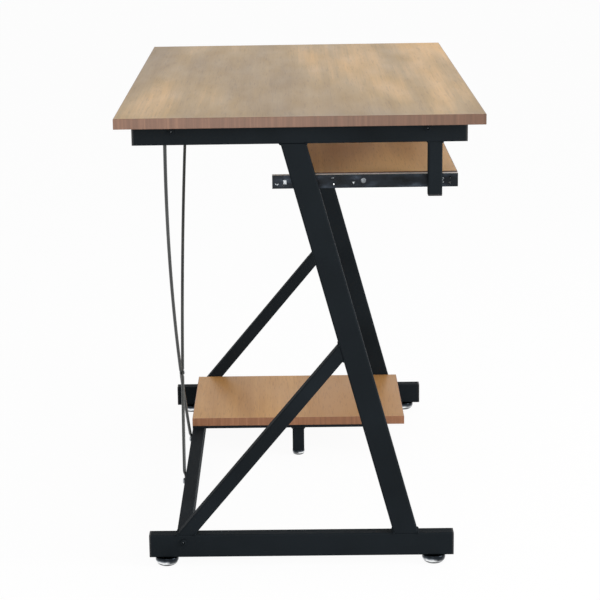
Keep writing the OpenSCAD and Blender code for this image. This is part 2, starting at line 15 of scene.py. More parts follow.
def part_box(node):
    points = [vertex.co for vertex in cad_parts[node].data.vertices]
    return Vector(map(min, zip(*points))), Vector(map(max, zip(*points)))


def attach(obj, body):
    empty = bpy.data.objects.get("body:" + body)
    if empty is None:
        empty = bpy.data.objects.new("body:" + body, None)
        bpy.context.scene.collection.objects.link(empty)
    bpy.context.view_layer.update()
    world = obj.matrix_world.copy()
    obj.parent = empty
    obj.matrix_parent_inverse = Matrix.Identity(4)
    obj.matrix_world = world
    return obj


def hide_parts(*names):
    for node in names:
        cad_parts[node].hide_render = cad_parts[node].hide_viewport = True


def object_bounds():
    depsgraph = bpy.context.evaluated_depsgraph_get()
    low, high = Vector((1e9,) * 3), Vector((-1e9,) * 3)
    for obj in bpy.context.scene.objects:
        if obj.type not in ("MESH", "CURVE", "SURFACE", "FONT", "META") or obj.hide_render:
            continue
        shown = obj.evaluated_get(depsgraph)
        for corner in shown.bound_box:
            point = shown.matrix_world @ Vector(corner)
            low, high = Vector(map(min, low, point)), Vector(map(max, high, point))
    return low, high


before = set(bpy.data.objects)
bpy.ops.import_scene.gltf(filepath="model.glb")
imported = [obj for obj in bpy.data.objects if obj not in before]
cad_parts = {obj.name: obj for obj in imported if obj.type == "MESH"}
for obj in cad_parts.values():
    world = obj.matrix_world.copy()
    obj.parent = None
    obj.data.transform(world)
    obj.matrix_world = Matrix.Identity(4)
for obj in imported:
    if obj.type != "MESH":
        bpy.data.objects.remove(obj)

cad_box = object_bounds()
MM = 0.001
NEAR = 1e-5  # metres within which two places count as the same


def put(name, data):
    """A new object in the scene, at the origin."""
    made = bpy.data.objects.new(name, data)
    bpy.context.scene.collection.objects.link(made)
    return made


# ---- camera ----

# The short end of the desk is seen square on, from a little above the desktop.
CAMERA_PLACE = (-3.5500, 0.0141, 1.2315)
CAMERA_TURN = (1.110, 13.915, -0.979)  # yaw, pitch and roll in degrees

camera_data = bpy.data.cameras.new("camera")
camera_data.lens = 116.77
camera_data.sensor_width = 36
camera_data.shift_x = 0.0733
camera_data.clip_end = 50
camera = put("camera", camera_data)
yaw, pitch, roll = (math.radians(a) for a in CAMERA_TURN)
aim = Euler((math.pi / 2 - pitch, 0, yaw - math.pi / 2)).to_matrix() @ Matrix.Rotation(roll, 3, "Z")
camera.matrix_world = Matrix.Translation(CAMERA_PLACE) @ aim.to_4x4()
bpy.context.scene.camera = camera


# ---- materials ----

# Sockets of a colour Mix node, which share their names with others: its share, two colours, result.
MIX_SHARE, MIX_FIRST, MIX_SECOND, MIXED = 0, 6, 7, 2
# Nearly all values of a Noise node lie between these two.
NOISE_LOW, NOISE_HIGH = 0.3, 0.7
FROM_NOISE = {"From Min": NOISE_LOW, "From Max": NOISE_HIGH}
PORE_BROWN = "7a5a44"
# the dark grey of the patches of painted reflection on the chrome bowls
PAINTED_REFLECTION_GREY = "24282d"
# the near white of the painted highlight on the slides' lips
PAINTED_HIGHLIGHT_WHITE = "f6f7f7"


def colour(code):
    """An sRGB hex colour as the linear RGBA that a socket takes."""
    parts = [int(code[i:i + 2], 16) / 255 for i in (0, 2, 4)]
    linear = [p / 12.92 if p <= 0.04045 else ((p + 0.055) / 1.055) ** 2.4 for p in parts]
    return (*linear, 1.0)


def add(tree, kind, inputs=None, **settings):
    """Adds a node: settings are its properties, inputs its socket values, or sockets to link from."""
    made = tree.nodes.new(kind)
    for name, value in settings.items():
        setattr(made, name, value)
    for name, value in (inputs or {}).items():
        socket = made.inputs[name]
        if isinstance(value, bpy.types.NodeSocket):
            tree.links.new(value, socket)
        else:
            socket.default_value = value
    return made


def empty_tree(owner):
    """The node tree of a material or world, with its stock nodes taken out."""
    owner.use_nodes = True
    owner.node_tree.nodes.clear()
    return owner.node_tree


def new_material(name):
    """A material of that name and its empty node tree."""
    material = bpy.data.materials.new(name)
    return material, empty_tree(material)


def finished(material, inputs):
    """The material, ended with its one Principled shader, whose constants go on its own sockets."""
    tree = material.node_tree
    shader = add(tree, "ShaderNodeBsdfPrincipled", inputs)
    add(tree, "ShaderNodeOutputMaterial", {"Surface": shader.outputs["BSDF"]})
    return material


def fill_ramp(node, stops):
    """Gives a Color Ramp its stops: place and hex colour."""
    marks = node.color_ramp.elements
    while len(marks) < len(stops):
        marks.new(0.5)
    for mark, (place, code) in zip(marks, stops):
        mark.position = place
        mark.color = colour(code)


def stretched(tree, scale):
    """The object's own coordinates, multiplied along each axis: patterns per metre."""
    place = add(tree, "ShaderNodeTexCoord")
    mapping = add(tree, "ShaderNodeMapping", {"Vector": place.outputs["Object"], "Scale": scale})
    return mapping.outputs["Vector"]


def melamine_board(name, tones, drift_seed, streak_seed, gloss):
    """Melamine-faced chipboard: printed wood grain under clear resin, pressed on a satin plate.

    The eye gets a tone that drifts slowly over the board from a darker to a paler brown, soft
    broad streaks along it, fine short pores that are only a little darker, and an even low
    sheen that pales the board at a flat angle.
    """
    material, tree = new_material(name)
    # slow drift of the print's tone, 400 mm across and 1400 mm along
    drift = add(tree, "ShaderNodeTexNoise", {
        "Vector": stretched(tree, (0.7, 2.4, 0)), "W": drift_seed, "Scale": 1.0, "Detail": 1.0},
        noise_dimensions="4D")
    # streaks 110 mm wide and 700 mm long
    broad = add(tree, "ShaderNodeTexNoise", {
        "Vector": stretched(tree, (1.4, 9, 0)), "W": streak_seed, "Scale": 1.0, "Detail": 2.0,
        "Roughness": 0.55, "Distortion": 0.4}, noise_dimensions="4D")
    # streaks 45 mm wide and a metre long
    narrow = add(tree, "ShaderNodeTexNoise", {
        "Vector": stretched(tree, (1.0, 22, 0)), "W": streak_seed, "Scale": 1.0, "Detail": 2.0,
        "Roughness": 0.5, "Distortion": 0.3}, noise_dimensions="4D")
    # printed lines 6 mm wide and 330 mm long
    fine = add(tree, "ShaderNodeTexNoise", {
        "Vector": stretched(tree, (3, 160, 20)), "W": streak_seed, "Scale": 1.0, "Detail": 4.0,
        "Roughness": 0.6}, noise_dimensions="4D")
    # long arches of the figure, 90 mm apart
    arches = add(tree, "ShaderNodeTexWave", {
        "Vector": stretched(tree, (0.5, 3.4, 0)), "Scale": 1.0, "Distortion": 5.0, "Detail": 3.0,
        "Detail Scale": 1.6, "Detail Roughness": 0.55}, wave_type="RINGS", rings_direction="Z")
    # blotches of the print and the resin, 45 mm across and 200 mm along
    blotch = add(tree, "ShaderNodeTexNoise", {
        "Vector": stretched(tree, (5, 22, 0)), "W": drift_seed, "Scale": 1.0, "Detail": 3.0},
        noise_dimensions="4D")
    weights = ((broad, 0.20), (narrow, 0.14), (fine, 0.12), (arches, 0.04), (blotch, 0.04))
    tone = drift.outputs["Fac"]
    for pattern, weight in weights:
        tone = add(tree, "ShaderNodeMath", {
            0: pattern.outputs["Fac"], 1: weight, 2: tone}, operation="MULTIPLY_ADD").outputs[0]
    # the sum of the patterns lies in this range
    share = add(tree, "ShaderNodeMapRange", {"Value": tone, "From Min": 0.67, "From Max": 0.96})
    grain = add(tree, "ShaderNodeValToRGB", {"Fac": share.outputs["Result"]})
    fill_ramp(grain, tones)
    # pores, drawn 2 mm wide and 35 mm long to show at all
    pores = add(tree, "ShaderNodeTexNoise", {
        "Vector": stretched(tree, (28, 480, 60)), "W": streak_seed, "Scale": 1.0, "Detail": 1.0},
        noise_dimensions="4D")
    marks = add(tree, "ShaderNodeMapRange", {
        "Value": pores.outputs["Fac"], "From Min": 0.56, "From Max": 0.70, "To Min": 0.0, "To Max": 0.24})
    print_colour = add(tree, "ShaderNodeMix", {
        MIX_SHARE: marks.outputs["Result"], MIX_FIRST: grain.outputs["Color"],
        MIX_SECOND: colour(PORE_BROWN)}, data_type="RGBA", blend_type="MULTIPLY")
    sheen = add(tree, "ShaderNodeMapRange", {
        **FROM_NOISE, "Value": blotch.outputs["Fac"], "To Min": 0.44, "To Max": 0.34})
    bump = add(tree, "ShaderNodeBump", {
        "Height": pores.outputs["Fac"], "Strength": 0.06, "Distance": 0.2 * MM})
    return finished(material, {
        "Base Color": print_colour.outputs[MIXED], "Roughness": sheen.outputs["Result"],
        "Normal": bump.outputs["Normal"], "Specular IOR Level": gloss})


def edge_tape(name, tones, drift_seed, line_seed):
    """ABS edge tape, printed across its width and flush-trimmed.

    The eye gets fine short lines that stand upright on the board's edge, a few of them darker,
    in a redder brown than the faces, with a soft plastic sheen.
    """
    material, tree = new_material(name)
    # upright lines about 4 mm apart
    lines = add(tree, "ShaderNodeTexNoise", {
        "Vector": stretched(tree, (230, 230, 6)), "W": line_seed, "Scale": 1.0, "Detail": 3.0,
        "Roughness": 0.65}, noise_dimensions="4D")
    # slow change of tone, 330 mm long on the short edges and 830 mm on the long ones
    slow = add(tree, "ShaderNodeTexNoise", {
        "Vector": stretched(tree, (1.2, 3, 0)), "W": drift_seed, "Scale": 1.0, "Detail": 1.0},
        noise_dimensions="4D")
    tone = add(tree, "ShaderNodeMath", {
        0: slow.outputs["Fac"], 1: 0.45, 2: lines.outputs["Fac"]}, operation="MULTIPLY_ADD")
    grain = add(tree, "ShaderNodeValToRGB", {"Fac": tone.outputs[0]})
    fill_ramp(grain, tones)
    sheen = add(tree, "ShaderNodeMapRange", {
        **FROM_NOISE, "Value": slow.outputs["Fac"], "To Min": 0.38, "To Max": 0.48})
    return finished(material, {
        "Base Color": grain.outputs["Color"], "Roughness": sheen.outputs["Result"],
        "Specular IOR Level": 0.4})


def coated_steel(name, dark, pale, peel, rough, gloss):
    """Steel under a sprayed and baked coat.

    The eye gets a nearly black or dark grey skin with orange peel, the small waves of the baked
    coat, and soft light lines only along the rounded edges.
    """
    material, tree = new_material(name)
    # waves of the coat, drawn 3 mm wide on the tubes and 11 mm on the rods to show at all
    waves = add(tree, "ShaderNodeTexNoise", {
        "Vector": stretched(tree, (peel, peel, peel)), "Scale": 1.0, "Detail": 2.0})
    # uneven thickness of the coat over 120 mm
    cloud = add(tree, "ShaderNodeTexNoise", {
        "Vector": stretched(tree, (8, 8, 8)), "Scale": 1.0, "Detail": 2.0})
    tint = add(tree, "ShaderNodeValToRGB", {"Fac": cloud.outputs["Fac"]})
    fill_ramp(tint, [(NOISE_LOW, dark), (NOISE_HIGH, pale)])
    sheen = add(tree, "ShaderNodeMapRange", {
        **FROM_NOISE, "Value": waves.outputs["Fac"], "To Min": rough - 0.04, "To Max": rough + 0.06})
    bump = add(tree, "ShaderNodeBump", {
        "Height": waves.outputs["Fac"], "Strength": 0.12, "Distance": 0.4 * MM})
    return finished(material, {
        "Base Color": tint.outputs["Color"], "Roughness": sheen.outputs["Result"],
        "Normal": bump.outputs["Normal"], "Specular IOR Level": gloss})


def chrome_plate(name, height, seed):
    """Pressed steel, nickel and chrome plated, for a cup of that height.

    The eye gets a near mirror with faint press marks. Its colour holds painted reflections by height:
    a grey then dark band under the tube, a bright bowl with dark patches of painted reflection,
    and a painted dark rim where it meets the floor.
    """
    material, tree = new_material(name)
    # press marks, drawn 8 mm across and 6 mm high to show at all
    marks = add(tree, "ShaderNodeTexNoise", {
        "Vector": stretched(tree, (120, 120, 160)), "Scale": 1.0, "Detail": 2.0})
    # painted reflection bands follow the height over the floor, and the press marks make them wander a
    # little
    place = add(tree, "ShaderNodeTexCoord")
    level = add(tree, "ShaderNodeSeparateXYZ", {"Vector": place.outputs["Object"]})
    wandering = add(tree, "ShaderNodeMath", {
        0: marks.outputs["Fac"], 1: 0.2 * height, 2: level.outputs["Z"]}, operation="MULTIPLY_ADD")
    share = add(tree, "ShaderNodeMapRange", {
        "Value": wandering.outputs[0], "From Min": 0.1 * height, "From Max": 1.1 * height})
    painted_reflection_bands = add(tree, "ShaderNodeValToRGB", {"Fac": share.outputs["Result"]})
    # painted reflections by height: a dark rim at the floor, a bright bowl, then grey and dark up to the
    # tube
    fill_ramp(painted_reflection_bands, [(0.29, "0f1214"), (0.36, "dfe2e4"), (0.50, "f4f5f5"), (0.61, "8d9399"),
                      (0.72, "3a3f45"), (0.90, "1e2226")])
    # dark patches of painted reflection on the bowl, 18 mm across and taller than the bowl
    reflection_patches = add(tree, "ShaderNodeTexNoise", {
        "Vector": stretched(tree, (55, 55, 15)), "W": seed, "Scale": 1.0, "Detail": 1.0},
        noise_dimensions="4D")
    reflection_patch_share = add(tree, "ShaderNodeMapRange", {
        "Value": reflection_patches.outputs["Fac"], "From Min": 0.46, "From Max": 0.56, "To Min": 0.0, "To Max": 0.92})
    on_bowl = add(tree, "ShaderNodeMapRange", {
        "Value": share.outputs["Result"], "From Min": 0.34, "From Max": 0.42})
    strength = add(tree, "ShaderNodeMath", {
        0: reflection_patch_share.outputs["Result"], 1: on_bowl.outputs["Result"]}, operation="MULTIPLY")
    # the bright bowl is darkened in patches: painted reflection
    tint = add(tree, "ShaderNodeMix", {
        MIX_SHARE: strength.outputs[0], MIX_FIRST: painted_reflection_bands.outputs["Color"],
        MIX_SECOND: colour(PAINTED_REFLECTION_GREY)}, data_type="RGBA")
    gloss = add(tree, "ShaderNodeMapRange", {
        **FROM_NOISE, "Value": marks.outputs["Fac"], "To Min": 0.06, "To Max": 0.14})
    return finished(material, {
        "Base Color": tint.outputs[MIXED], "Roughness": gloss.outputs["Result"], "Metallic": 1.0})


def slide_plate(name):
    """Cold-rolled steel in black zinc plating, roll-formed into a slide.

    The eye gets a dark grey, slightly blue sheen with soft lighter clouds on the flat web, and
    lips painted near white and not metallic: a painted highlight along the slide's edges.
    """
    material, tree = new_material(name)
    # clouds in the plating, 35 mm long and 12 mm high
    clouds = add(tree, "ShaderNodeTexNoise", {
        "Vector": stretched(tree, (40, 28, 80)), "Scale": 1.0, "Detail": 3.0, "Roughness": 0.55})
    web = add(tree, "ShaderNodeValToRGB", {"Fac": clouds.outputs["Fac"]})
    fill_ramp(web, [(0.34, "0f1215"), (0.50, "171c22"), (0.62, "272d35"), (0.74, "424b55")])
    # the lips are the faces that look up or down, and they get a painted highlight
    place = add(tree, "ShaderNodeTexCoord")
    facing = add(tree, "ShaderNodeSeparateXYZ", {"Vector": place.outputs["Normal"]})
    upward = add(tree, "ShaderNodeMath", {0: facing.outputs["Z"]}, operation="ABSOLUTE")
    painted_lip_highlight = add(tree, "ShaderNodeMapRange", {
        "Value": upward.outputs[0], "From Min": 0.35, "From Max": 0.8})
    tint = add(tree, "ShaderNodeMix", {
        MIX_SHARE: painted_lip_highlight.outputs["Result"], MIX_FIRST: web.outputs["Color"],
        MIX_SECOND: colour(PAINTED_HIGHLIGHT_WHITE)}, data_type="RGBA")
    # the lips' painted highlight is not metallic, so that it stays pale
    metal = add(tree, "ShaderNodeMapRange", {
        "Value": painted_lip_highlight.outputs["Result"], "To Min": 0.75, "To Max": 0.0})
    gloss = add(tree, "ShaderNodeMapRange", {
        **FROM_NOISE, "Value": clouds.outputs["Fac"], "To Min": 0.26, "To Max": 0.4})
    return finished(material, {
        "Base Color": tint.outputs[MIXED], "Metallic": metal.outputs["Result"],
        "Roughness": gloss.outputs["Result"], "Specular IOR Level": 0.5})


def bright_steel(name, dark, pale, rough):
    """Steel of the small parts, zinc plated, or ground and polished for the balls.

    The eye gets a plain grey metal with a slightly cloudy sheen.
    """
    material, tree = new_material(name)
    # clouds in the surface, 3 mm
    clouds = add(tree, "ShaderNodeTexNoise", {
        "Vector": stretched(tree, (350, 350, 350)), "Scale": 1.0, "Detail": 2.0})
    tint = add(tree, "ShaderNodeValToRGB", {"Fac": clouds.outputs["Fac"]})
    fill_ramp(tint, [(NOISE_LOW, dark), (NOISE_HIGH, pale)])
    gloss = add(tree, "ShaderNodeMapRange", {
        **FROM_NOISE, "Value": clouds.outputs["Fac"], "To Min": rough, "To Max": rough + 0.12})
    return finished(material, {
        "Base Color": tint.outputs["Color"], "Roughness": gloss.outputs["Result"], "Metallic": 1.0})


def moulded_plastic(name, dark, pale, rough):
    """Plastic moulded in a spark-eroded mould: the eye gets a fine even texture and a soft sheen."""
    material, tree = new_material(name)
    # mould texture, drawn 1.5 mm to show at all
    texture = add(tree, "ShaderNodeTexNoise", {
        "Vector": stretched(tree, (650, 650, 650)), "Scale": 1.0, "Detail": 2.0})
    tint = add(tree, "ShaderNodeValToRGB", {"Fac": texture.outputs["Fac"]})
    fill_ramp(tint, [(NOISE_LOW, dark), (NOISE_HIGH, pale)])
    gloss = add(tree, "ShaderNodeMapRange", {
        "Value": texture.outputs["Fac"], "To Min": rough, "To Max": rough + 0.15})
    bump = add(tree, "ShaderNodeBump", {
        "Height": texture.outputs["Fac"], "Strength": 0.15, "Distance": 0.2 * MM})
    return finished(material, {
        "Base Color": tint.outputs["Color"], "Roughness": gloss.outputs["Result"],
        "Normal": bump.outputs["Normal"], "Specular IOR Level": 0.35})


# Grain and tape tones from dark to pale, each with its place on the ramp.
DESK_TONES = [(0.12, "896c41"), (0.48, "a48451"), (0.84, "d7a968")]
# the three boards share one print; the shelf's and the tray's tones are painted paler than the desktop's,
# as painted light in the shade under the desktop
LOW_TONES_PAINTED_LIGHT = [(0.15, "b28450"), (0.48, "c99a60"), (0.82, "deb377")]
TRAY_TONES_PAINTED_LIGHT = [(0.15, "bf9874"), (0.48, "d2aa80"), (0.82, "edc591")]
DESK_TAPE_TONES = [(0.40, "624839"), (0.58, "694e3e"), (0.74, "735443"), (0.94, "84624d")]
LOW_TAPE_TONES = [(0.44, "7a533b"), (0.62, "885d41"), (0.76, "906346"), (0.92, "9f7052")]
# the tray's tape is painted near black brown: a painted shadow of the gap between the tray and the slides
TRAY_TAPE_PAINTED_SHADOW_TONES = [(0.48, "38251e"), (0.62, "432c24"), (0.76, "4a3229"), (0.92, "553b30")]
CUP_HEIGHT = 16 * MM        # of the four glides under the feet
SMALL_CUP_HEIGHT = 11 * MM  # of the glide under the shelf's leg

desk_board = melamine_board(
    "melamine_board_desktop", DESK_TONES, drift_seed=148.0, streak_seed=17.5, gloss=0.3)
low_board = melamine_board(
    "melamine_board_shelf", LOW_TONES_PAINTED_LIGHT, drift_seed=5.0, streak_seed=6.0, gloss=0.18)
tray_board = melamine_board(
    "melamine_board_tray", TRAY_TONES_PAINTED_LIGHT, drift_seed=7.0, streak_seed=9.0, gloss=0.3)
desk_tape = edge_tape("abs_edge_tape_desktop", DESK_TAPE_TONES, drift_seed=64.8, line_seed=2.0)
low_tape = edge_tape("abs_edge_tape_shelf", LOW_TAPE_TONES, drift_seed=35.94, line_seed=6.0)
tray_tape = edge_tape("abs_edge_tape_tray", TRAY_TAPE_PAINTED_SHADOW_TONES, drift_seed=35.94, line_seed=6.0)
powder_coat = coated_steel("powder_coated_steel", "171b1e", "1c2125", peel=330, rough=0.62, gloss=0.03)
rod_enamel = coated_steel("stove_enamelled_rod", "2d3030", "3e4140", peel=90, rough=0.26, gloss=0.42)
foot_chrome = chrome_plate("chrome_plated_cup", CUP_HEIGHT, seed=254.5)
small_chrome = chrome_plate("chrome_plated_small_cup", SMALL_CUP_HEIGHT, seed=5.0)
slide_steel = slide_plate("black_zinc_plated_steel")
zinc = bright_steel("zinc_plated_steel", "8f9498", "b9bdc0", rough=0.22)
dull_zinc = bright_steel("dull_zinc_plated_steel", "63676b", "85898d", rough=0.42)
bearing_steel = bright_steel("bearing_steel", "c9ccce", "e2e4e5", rough=0.06)
plug_plastic = moulded_plastic("moulded_polyethylene", "101214", "1a1c1f", rough=0.45)

# The finish of a CAD node follows its material slot, unless the node has one of its own.
SLOT_FINISH = {
    "board": low_board, "edge_band": low_tape, "frame_steel": powder_coat, "rod_steel": rod_enamel,
    "fixings": zinc, "slide_steel": slide_steel, "chrome": foot_chrome, "plug_plastic": plug_plastic,
}
OWN_FINISH = {
    "desktop_panel": desk_board, "tray_panel": tray_board, "middle_glide_cup": small_chrome,
    "left_slide_balls": bearing_steel, "right_slide_balls": bearing_steel,
}
for node_name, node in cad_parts.items():
    for material_slot in node.material_slots:
        finish = OWN_FINISH.get(node_name, SLOT_FINISH[material_slot.material.name])
        material_slot.material = finish


# ---- shared shapes ----

DOUBLES = 1e-6          # metres within which corners are merged
FLAT = math.radians(1)  # turn up to which faces count as one flat side
SHARP = 1.0             # turn in radians from which two faces meet in an arris


def show(name, mesh, body, replaced=()):
    """Makes a finished piece of a mesh: it rides on the body and stands for the CAD nodes named."""
    piece = put(name, mesh)
    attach(piece, body)
    if replaced:
        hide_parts(*replaced)
    return piece


def cad_copy(node_name):
    """A bmesh of a CAD node, with its loose triangles merged."""
    shape = bmesh.new()
    shape.from_mesh(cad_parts[node_name].data)
    bmesh.ops.remove_doubles(shape, verts=shape.verts, dist=DOUBLES)
    return shape


def flat_faced(node_name):
    """A bmesh of a CAD node with one face for each flat side."""
    shape = cad_copy(node_name)
    bmesh.ops.dissolve_limit(shape, angle_limit=FLAT, verts=shape.verts, edges=shape.edges)
    return shape


def solids(node_name):
    """The separate solids of a CAD node, each as a list of its corners."""
    shape = cad_copy(node_name)
    seen = set()
    found = []
    for start in shape.verts:
        if start in seen:
            continue
        seen.add(start)
        waiting, corners = [start], []
        while waiting:
            vert = waiting.pop()
            corners.append(vert.co.copy())
            for edge in vert.link_edges:
                other = edge.other_vert(vert)
                if other not in seen:
                    seen.add(other)
                    waiting.append(other)
        found.append(corners)
    shape.free()
    return found


def mesh_of(shape, name, material, smooth=True):
    """Turns a bmesh into a mesh with outward faces and one material, and frees it."""
    bmesh.ops.recalc_face_normals(shape, faces=shape.faces)
    mesh = bpy.data.meshes.new(name)
    for face in shape.faces:
        face.smooth = smooth
    shape.to_mesh(mesh)
    shape.free()
    mesh.materials.append(material)
    return mesh


def polygon(radius, sides):
    """The corners of a regular outline round the origin."""
    turns = [2 * math.pi * i / sides for i in range(sides)]
    return [(radius * math.cos(t), radius * math.sin(t)) for t in turns]


def rectangle(half_length, half_width):
    """The corners of a rectangle round the origin."""
    return [(-half_length, -half_width), (half_length, -half_width),
            (half_length, half_width), (-half_length, half_width)]


def turned(profile, sides):
    """A bmesh turned about Z from (radius, height) points that start and end on the axis."""
    shape = bmesh.new()
    rings = []
    for radius, height in profile:
        if radius == 0:
            rings.append([shape.verts.new((0, 0, height))] * sides)
        else:
            rings.append([shape.verts.new((x, y, height)) for x, y in polygon(radius, sides)])
    for low, high in zip(rings, rings[1:]):
        for i in range(sides):
            j = (i + 1) % sides
            corners = list(dict.fromkeys((low[i], low[j], high[j], high[i])))
            if len(corners) > 2:
                shape.faces.new(corners)
    return shape


def skinned(*bodies):
    """A bmesh of closed bodies, each given as rings of points, which faces join one to the next."""
    shape = bmesh.new()
    for rings in bodies:
        made = [[shape.verts.new(point) for point in ring] for ring in rings]
        shape.faces.new(made[0])
        shape.faces.new(made[-1])
        for low, high in zip(made, made[1:]):
            for i in range(len(low)):
                j = (i + 1) % len(low)
                shape.faces.new((low[i], low[j], high[j], high[i]))
    bmesh.ops.recalc_face_normals(shape, faces=shape.faces)
    return shape


def prism(outline, low, high):
    """A bmesh of a flat outline in XY, raised from low to high."""
    return skinned([[(x, y, z) for x, y in outline] for z in (low, high)])


def evaluated_mesh(piece):
    """The plain mesh of an object with its modifiers worked out. The object is then gone."""
    graph = bpy.context.evaluated_depsgraph_get()
    mesh = bpy.data.meshes.new_from_object(piece.evaluated_get(graph), depsgraph=graph)
    bpy.data.objects.remove(piece)
    return mesh


# ---- the boards' edge tapes ----

TAPE_TRIM = 0.7 * MM


def trimmed_tape(name, node_name, material):
    """The edge tape of a board with its outer arrises trimmed round."""
    shape = flat_faced(node_name)
    low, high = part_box(node_name)

    def is_outer(edge):
        """Tells if an edge is level and runs along an outer side of the ring."""
        start, end = (vert.co for vert in edge.verts)
        return abs(start.z - end.z) < NEAR and any(
            abs(start[i] - end[i]) < NEAR and min(abs(start[i] - low[i]), abs(start[i] - high[i])) < NEAR
            for i in (0, 1))

    arrises = [edge for edge in shape.edges if edge.calc_face_angle(0) > SHARP and is_outer(edge)]
    bmesh.ops.bevel(shape, geom=arrises, offset=TAPE_TRIM, segments=3, profile=0.5, affect="EDGES")
    return mesh_of(shape, name, material, smooth=False)


TAPES = [
    # name, CAD node, finish, body
    ("desktop_edge_tape", "desktop_edge_band", desk_tape, "frame"),
    ("shelf_edge_tape", "shelf_edge_band", low_tape, "frame"),
    ("tray_edge_tape", "tray_edge_band", tray_tape, "tray"),
]
for name, node_name, finish, body in TAPES:
    show(name, trimmed_tape(name, node_name, finish), body, [node_name])


# ---- moulded plugs in the open tube ends ----

PLUG_ROUND = 0.5 * MM


def rounded_plugs(name, node_name):
    """The plugs of a CAD node with their arrises rounded."""
    shape = flat_faced(node_name)
    rims = [edge for edge in shape.edges if edge.is_manifold and edge.calc_face_angle(0) > SHARP]
    bmesh.ops.bevel(shape, geom=rims, offset=PLUG_ROUND, segments=2, profile=0.5, affect="EDGES",
                    clamp_overlap=True)
    return mesh_of(shape, name, plug_plastic, smooth=False)


PLUGS = [
    # name, CAD node
    ("rail_plugs", "rail_end_plugs"),
    ("foot_plugs", "foot_end_plugs"),
    ("hanger_plugs", "hanger_end_plugs"),
]
for name, node_name in PLUGS:
    show(name, rounded_plugs(name, node_name), "frame", [node_name])


# ---- geometry node trees ----

# Sockets of a Random Value node that gives a plain number: its lowest, highest, and the number.
RANDOM_LOW, RANDOM_HIGH, RANDOM_NUMBER = 2, 3, 1


def new_tree(name, inputs):
    """A geometry node tree with a mesh in and out and the named inputs (name, socket type, value)."""
    tree = bpy.data.node_groups.new(name, "GeometryNodeTree")
    tree.interface.new_socket("Geometry", in_out="OUTPUT", socket_type="NodeSocketGeometry")
    tree.interface.new_socket("Geometry", in_out="INPUT", socket_type="NodeSocketGeometry")
    for label, kind, value in inputs:
        socket = tree.interface.new_socket(label, in_out="INPUT", socket_type=kind)
        if value is not None:
            socket.default_value = value
    return tree, add(tree, "NodeGroupInput").outputs


def run_tree(tree, mesh, values):
    """The mesh that a tree makes of the given one with these inputs."""
    holder = put("holder", mesh)
    modifier = holder.modifiers.new("tree", "NODES")
    modifier.node_group = tree
    for item in tree.interface.items_tree:
        if item.in_out == "INPUT" and item.name in values:
            modifier[item.identifier] = values[item.name]
    return evaluated_mesh(holder)


def fastener_tree():
    """Sets a fastener at each point, its head along the point's direction, turned at random."""
    tree, given = new_tree("set_fasteners", [
        ("Fastener", "NodeSocketObject", None), ("Seed", "NodeSocketInt", 1),
        ("Finish", "NodeSocketMaterial", None)])
    outward = add(tree, "GeometryNodeInputNamedAttribute", {"Name": "outward"}, data_type="FLOAT_VECTOR")
    upright = add(tree, "FunctionNodeAlignRotationToVector", {
        "Vector": outward.outputs["Attribute"]}, axis="Z")
    spin = add(tree, "FunctionNodeRandomValue", {
        "Seed": given["Seed"], RANDOM_LOW: 0.0, RANDOM_HIGH: math.pi}, data_type="FLOAT")
    turn = add(tree, "FunctionNodeAxisAngleToRotation", {"Angle": spin.outputs[RANDOM_NUMBER]})
    turned_on = add(tree, "FunctionNodeRotateRotation", {
        "Rotation": upright.outputs[0], "Rotate By": turn.outputs[0]}, rotation_space="LOCAL")
    one = add(tree, "GeometryNodeObjectInfo", {"Object": given["Fastener"]})
    copies = add(tree, "GeometryNodeInstanceOnPoints", {
        "Points": given["Geometry"], "Instance": one.outputs["Geometry"],
        "Rotation": turned_on.outputs[0]})
    real = add(tree, "GeometryNodeRealizeInstances", {"Geometry": copies.outputs["Instances"]})
    finish = add(tree, "GeometryNodeSetMaterial", {
        "Geometry": real.outputs["Geometry"], "Material": given["Finish"]})
    add(tree, "NodeGroupOutput", {"Geometry": finish.outputs["Geometry"]})
    return tree


def bead_tree():
    """Lays a weld bead along a path: overlapping ripples, each a little different in size."""
    tree, given = new_tree("lay_weld_bead", [
        ("Bead radius", "NodeSocketFloat", 2 * MM), ("Ripple pitch", "NodeSocketFloat", 2 * MM),
        ("Seed", "NodeSocketInt", 1), ("Finish", "NodeSocketMaterial", None)])
    path = add(tree, "GeometryNodeMeshToCurve", {"Mesh": given["Geometry"]})
    stops = add(tree, "GeometryNodeCurveToPoints", {
        "Curve": path.outputs["Curve"], "Length": given["Ripple pitch"]}, mode="LENGTH")
    ripple = add(tree, "GeometryNodeMeshUVSphere", {
        "Segments": 8, "Rings": 5, "Radius": given["Bead radius"]})
    size = add(tree, "FunctionNodeRandomValue", {
        "Seed": given["Seed"], RANDOM_LOW: 0.85, RANDOM_HIGH: 1.1}, data_type="FLOAT")
    copies = add(tree, "GeometryNodeInstanceOnPoints", {
        "Points": stops.outputs["Points"], "Instance": ripple.outputs["Mesh"],
        "Rotation": stops.outputs["Rotation"], "Scale": size.outputs[RANDOM_NUMBER]})
    real = add(tree, "GeometryNodeRealizeInstances", {"Geometry": copies.outputs["Instances"]})
    soft = add(tree, "GeometryNodeSetShadeSmooth", {"Geometry": real.outputs["Geometry"]})
    finish = add(tree, "GeometryNodeSetMaterial", {
        "Geometry": soft.outputs["Geometry"], "Material": given["Finish"]})
    add(tree, "NodeGroupOutput", {"Geometry": finish.outputs["Geometry"]})
    return tree


SET_FASTENERS = fastener_tree()
LAY_BEAD = bead_tree()


